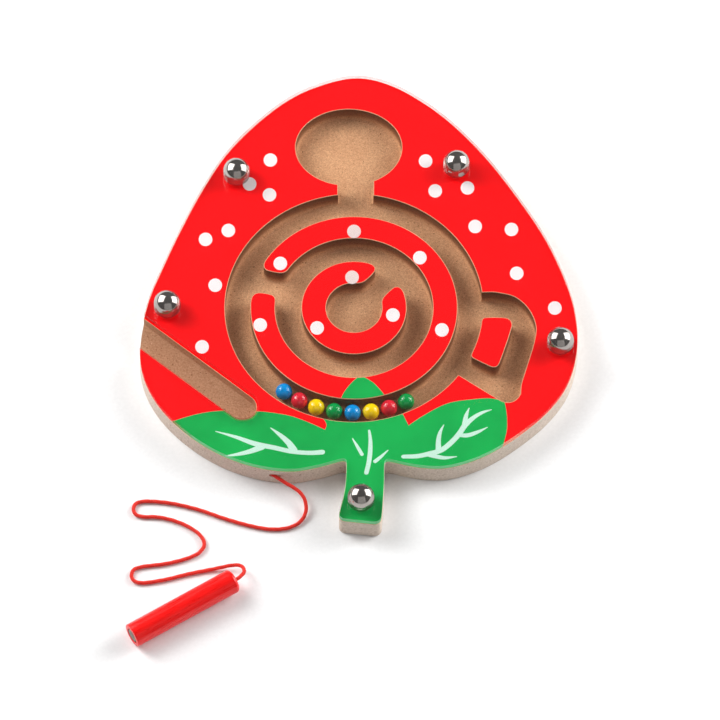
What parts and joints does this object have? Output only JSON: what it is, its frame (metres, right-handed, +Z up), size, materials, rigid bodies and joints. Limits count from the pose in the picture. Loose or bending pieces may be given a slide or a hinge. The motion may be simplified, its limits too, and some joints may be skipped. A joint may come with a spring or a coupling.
{
  "type": "magnetic bead maze",
  "caption": "Strawberry-shaped bead maze: routed ring channels under a clear cover, loose beads, and a magnetic pen on a cord.",
  "frame": {"origin": "underside of the base panel, below the centre of the ring channels", "axes": "+Z up out of the printed face, +Y from the stem to the tip of the berry, +X to the right seen from above"},
  "size_m": [0.1597, 0.2251, 0.0183],
  "materials": {
    "mdf": "raw routed fibreboard, dry and fuzzy",
    "printed_board": "fibreboard with a flat red print on its face",
    "green_print": "flat green print of the leaves and stem",
    "white_print": "white printed seed dots",
    "vein_print": "pale mint printed leaf veins",
    "clear_acrylic": "clear polished sheet with a bright cut edge",
    "nickel": "polished nickel plating",
    "screw_steel": "zinc plated",
    "bead_blue": "gloss enamel",
    "bead_red": "gloss enamel",
    "bead_yellow": "gloss enamel",
    "bead_green": "gloss enamel",
    "pen_lacquer": "red lacquer on a turned dowel",
    "magnet": "dull sintered magnet",
    "cord": "waxed twisted cord"
  },
  "bodies": {
    "board": {"base_panel": "mdf", "maze_frame": "printed_board", "middle_ring": "printed_board", "inner_ring": "printed_board", "pocket_island": "printed_board", "clear_cover": "clear_acrylic", "dome_nut_1": "nickel", "dome_nut_2": "nickel", "dome_nut_3": "nickel", "dome_nut_4": "nickel", "dome_nut_5": "nickel", "back_screw_1": "screw_steel", "back_screw_2": "screw_steel", "back_screw_3": "screw_steel", "back_screw_4": "screw_steel", "back_screw_5": "screw_steel", "pen_cord": "cord"},
    "bead_1": {"bead_1": "bead_blue"},
    "bead_2": {"bead_2": "bead_red"},
    "bead_3": {"bead_3": "bead_yellow"},
    "bead_4": {"bead_4": "bead_green"},
    "bead_5": {"bead_5": "bead_blue"},
    "bead_6": {"bead_6": "bead_yellow"},
    "bead_7": {"bead_7": "bead_red"},
    "bead_8": {"bead_8": "bead_green"},
    "pen": {"pen_barrel": "pen_lacquer", "pen_magnet": "magnet"}
  },
  "joints": [
    {"name": "bead_8_orbit", "type": "hinge", "parent": "board", "child": "bead_8", "pos_m": [0, 0, 0.00545], "axis": [0, 0, 1], "continuous": true},
    {"name": "bead_7_spacing", "type": "hinge", "parent": "bead_8", "child": "bead_7", "pos_m": [0, 0, 0.00545], "axis": [0, 0, 1], "range_deg": [-35, 0]},
    {"name": "bead_6_spacing", "type": "hinge", "parent": "bead_7", "child": "bead_6", "pos_m": [0, 0, 0.00545], "axis": [0, 0, 1], "range_deg": [-35, 0]},
    {"name": "bead_5_spacing", "type": "hinge", "parent": "bead_6", "child": "bead_5", "pos_m": [0, 0, 0.00545], "axis": [0, 0, 1], "range_deg": [-35, 0]},
    {"name": "bead_4_spacing", "type": "hinge", "parent": "bead_5", "child": "bead_4", "pos_m": [0, 0, 0.00545], "axis": [0, 0, 1], "range_deg": [-35, 0]},
    {"name": "bead_3_spacing", "type": "hinge", "parent": "bead_4", "child": "bead_3", "pos_m": [0, 0, 0.00545], "axis": [0, 0, 1], "range_deg": [-35, 0]},
    {"name": "bead_2_spacing", "type": "hinge", "parent": "bead_3", "child": "bead_2", "pos_m": [0, 0, 0.00545], "axis": [0, 0, 1], "range_deg": [-35, 0]},
    {"name": "bead_1_spacing", "type": "hinge", "parent": "bead_2", "child": "bead_1", "pos_m": [0, 0, 0.00545], "axis": [0, 0, 1], "range_deg": [-35, 0]},
    {"name": "pen_lift", "type": "slide", "parent": "board", "child": "pen", "axis": [0, 0, 1], "range_m": [0, 0.06]}
  ]
}
